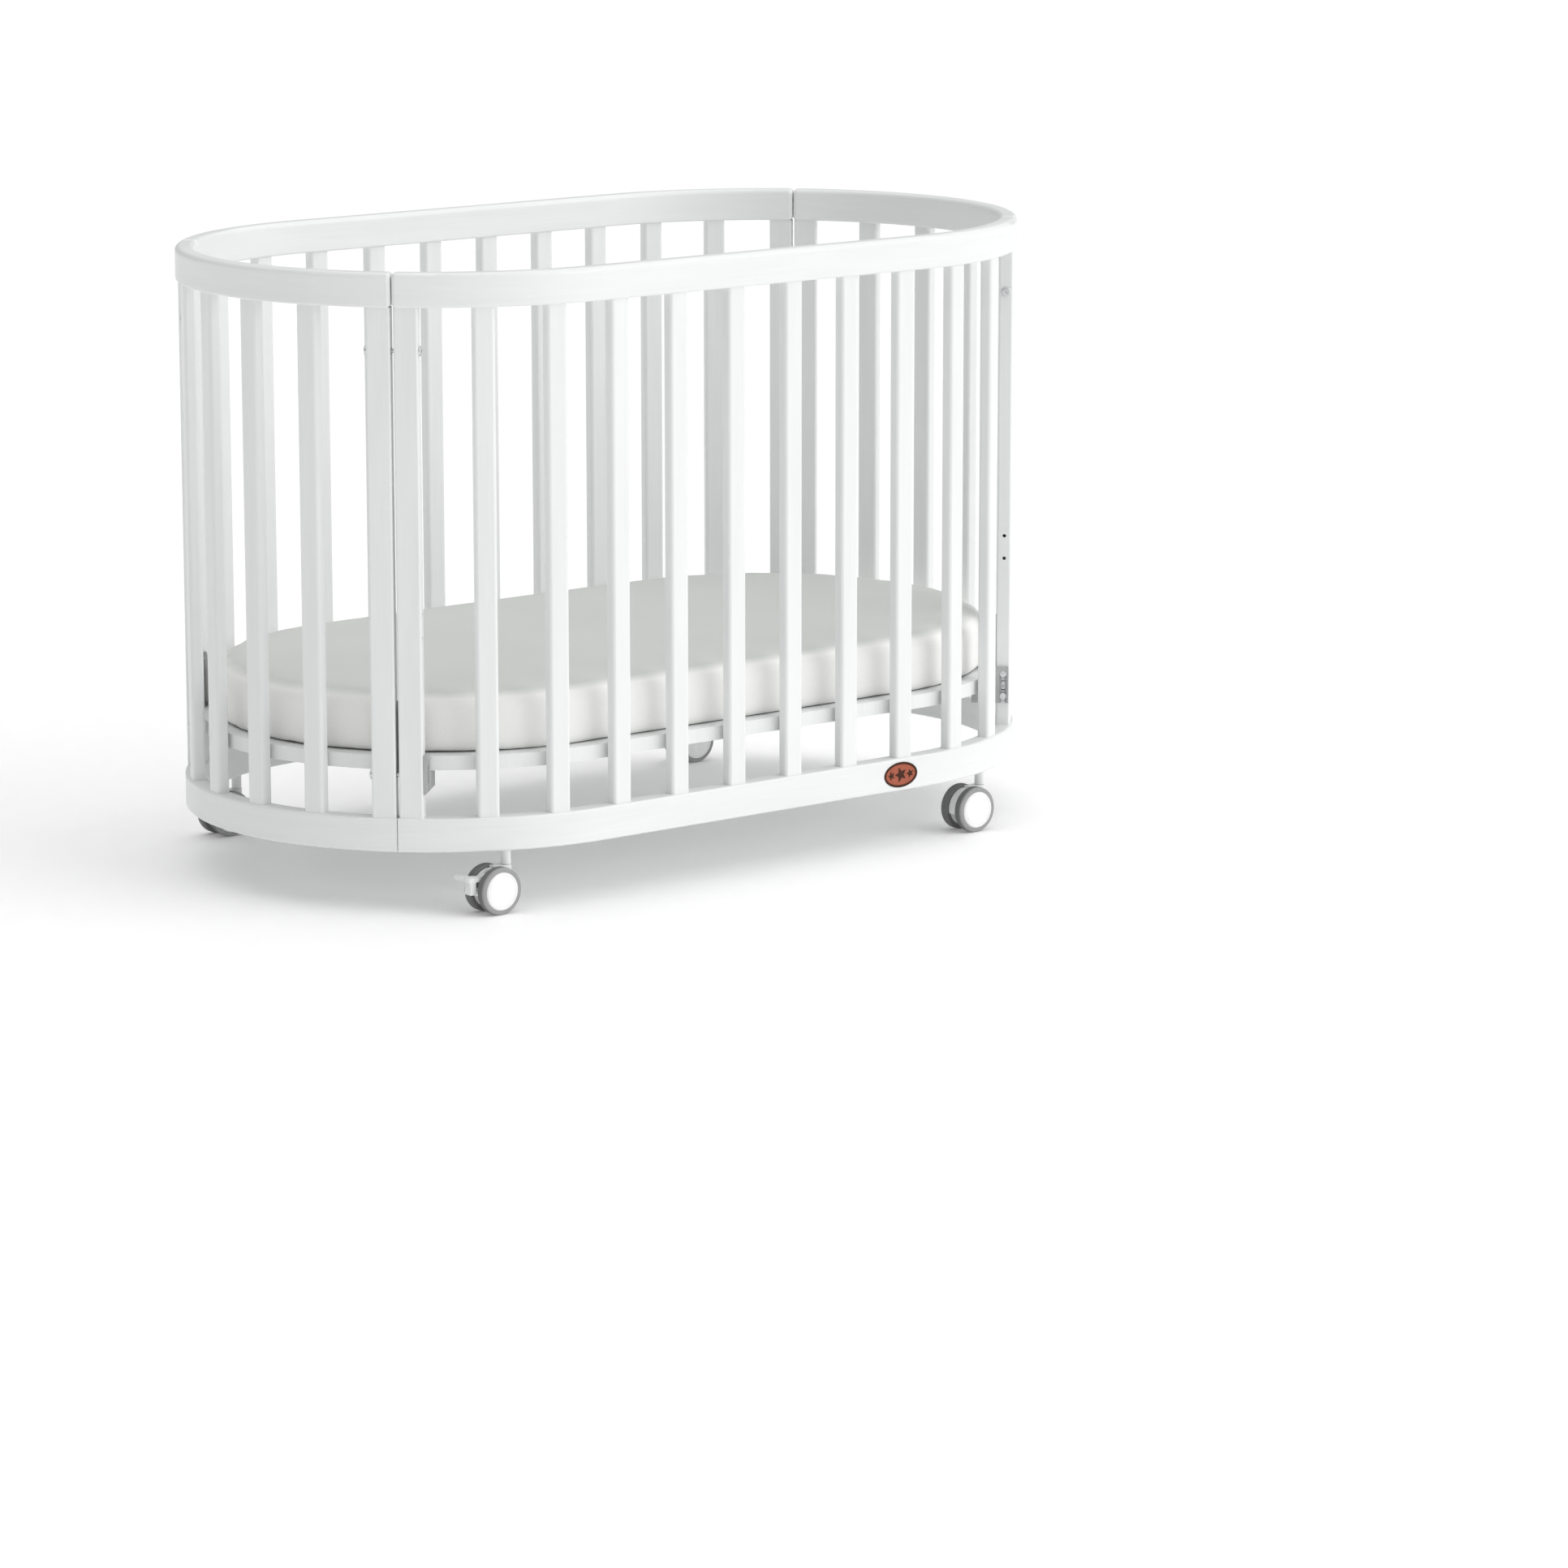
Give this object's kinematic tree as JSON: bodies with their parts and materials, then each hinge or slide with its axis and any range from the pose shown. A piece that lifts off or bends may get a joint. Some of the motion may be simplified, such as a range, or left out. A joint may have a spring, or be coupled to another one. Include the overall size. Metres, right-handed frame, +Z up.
{
  "type": "baby crib",
  "caption": "Oval slatted baby crib in white-lacquered wood, bolted from curved panels, with a height-adjustable mattress base, a fitted mattress and swivel twin-wheel casters.",
  "frame": {"origin": "on the floor, under the middle of the crib", "axes": "+X along the long axis towards the unbraked casters, +Y towards the back long side, +Z up"},
  "size_m": [1.295, 0.728, 0.863],
  "materials": {
    "white_lacquer": "satin white lacquer on solid beech",
    "beech": "bare beech dowel",
    "white_board": "white painted board",
    "mattress_cover": "matt off-white cotton",
    "copper_badge": "brushed copper with a dark border",
    "zinc_steel": "zinc plated",
    "dark_steel": "dark plated",
    "bracket_steel": "grey powder coat",
    "pad_plastic": "satin",
    "white_steel": "white powder coat",
    "grey_rubber": "light grey, satin",
    "caster_plastic": "white, smooth"
  },
  "bodies": {
    "frame": {"badge": "copper_badge", "bottom_rail_back": "white_lacquer", "bottom_rail_dowels": "beech", "bottom_rail_front": "white_lacquer", "bottom_rail_left": "white_lacquer", "bottom_rail_right": "white_lacquer", "bracket_pegs": "zinc_steel", "caster_inserts": "zinc_steel", "caster_stems": "white_steel", "panel_bolts": "zinc_steel", "panel_sleeve_nuts": "zinc_steel", "post_back_left_end": "white_lacquer", "post_back_left_side": "white_lacquer", "post_back_right_end": "white_lacquer", "post_back_right_side": "white_lacquer", "post_front_left_end": "white_lacquer", "post_front_left_side": "white_lacquer", "post_front_right_end": "white_lacquer", "post_front_right_side": "white_lacquer", "slats_back": "white_lacquer", "slats_front": "white_lacquer", "slats_left": "white_lacquer", "slats_right": "white_lacquer", "top_rail_back": "white_lacquer", "top_rail_dowels": "beech", "top_rail_front": "white_lacquer", "top_rail_left": "white_lacquer", "top_rail_right": "white_lacquer"},
    "mattress_base": {"base_rim": "white_board", "base_board": "white_board", "board_screws": "zinc_steel", "base_straps": "dark_steel", "strap_pads": "pad_plastic", "strap_screws": "zinc_steel", "bracket_seat_screws": "zinc_steel", "bracket_back_right": "bracket_steel", "bracket_back_left": "bracket_steel", "bracket_front_right": "bracket_steel", "bracket_front_left": "bracket_steel"},
    "mattress": {"mattress": "mattress_cover"},
    "caster_back_right": {"caster_back_right_housing": "caster_plastic"},
    "wheels_back_right": {"caster_back_right_wheels": "caster_plastic", "caster_back_right_tyres": "grey_rubber", "caster_back_right_axle": "zinc_steel"},
    "caster_back_left": {"caster_back_left_housing": "caster_plastic", "caster_back_left_brake_pin": "zinc_steel"},
    "wheels_back_left": {"caster_back_left_wheels": "caster_plastic", "caster_back_left_tyres": "grey_rubber", "caster_back_left_axle": "zinc_steel"},
    "brake_back_left": {"caster_back_left_brake_pedal": "caster_plastic"},
    "caster_front_right": {"caster_front_right_housing": "caster_plastic"},
    "wheels_front_right": {"caster_front_right_wheels": "caster_plastic", "caster_front_right_tyres": "grey_rubber", "caster_front_right_axle": "zinc_steel"},
    "caster_front_left": {"caster_front_left_housing": "caster_plastic", "caster_front_left_brake_pin": "zinc_steel"},
    "wheels_front_left": {"caster_front_left_wheels": "caster_plastic", "caster_front_left_tyres": "grey_rubber", "caster_front_left_axle": "zinc_steel"},
    "brake_front_left": {"caster_front_left_brake_pedal": "caster_plastic"}
  },
  "joints": [
    {"name": "base_height", "type": "slide", "parent": "frame", "child": "mattress_base", "axis": [0, 0, 1], "range_m": [0, 0.201]},
    {"name": "mattress_lift", "type": "slide", "parent": "mattress_base", "child": "mattress", "axis": [0, 0, 1], "range_m": [0, 0.7]},
    {"name": "swivel_back_right", "type": "hinge", "parent": "frame", "child": "caster_back_right", "pos_m": [0.42095, 0.32264, 0.06], "axis": [0, 0, 1], "continuous": true},
    {"name": "roll_back_right", "type": "hinge", "parent": "caster_back_right", "child": "wheels_back_right", "pos_m": [0.39895, 0.32264, 0.0325], "axis": [0, 1, 0], "continuous": true},
    {"name": "swivel_back_left", "type": "hinge", "parent": "frame", "child": "caster_back_left", "pos_m": [-0.42095, 0.32264, 0.06], "axis": [0, 0, 1], "continuous": true},
    {"name": "roll_back_left", "type": "hinge", "parent": "caster_back_left", "child": "wheels_back_left", "pos_m": [-0.44295, 0.32264, 0.0325], "axis": [0, 1, 0], "continuous": true},
    {"name": "brake_press_back_left", "type": "hinge", "parent": "caster_back_left", "child": "brake_back_left", "pos_m": [-0.45495, 0.32264, 0.05], "axis": [0, -1, 0], "range_deg": [0, 10]},
    {"name": "swivel_front_right", "type": "hinge", "parent": "frame", "child": "caster_front_right", "pos_m": [0.42095, -0.32264, 0.06], "axis": [0, 0, 1], "continuous": true},
    {"name": "roll_front_right", "type": "hinge", "parent": "caster_front_right", "child": "wheels_front_right", "pos_m": [0.39895, -0.32264, 0.0325], "axis": [0, 1, 0], "continuous": true},
    {"name": "swivel_front_left", "type": "hinge", "parent": "frame", "child": "caster_front_left", "pos_m": [-0.42095, -0.32264, 0.06], "axis": [0, 0, 1], "continuous": true},
    {"name": "roll_front_left", "type": "hinge", "parent": "caster_front_left", "child": "wheels_front_left", "pos_m": [-0.44295, -0.32264, 0.0325], "axis": [0, 1, 0], "continuous": true},
    {"name": "brake_press_front_left", "type": "hinge", "parent": "caster_front_left", "child": "brake_front_left", "pos_m": [-0.45495, -0.32264, 0.05], "axis": [0, -1, 0], "range_deg": [0, 10]}
  ]
}
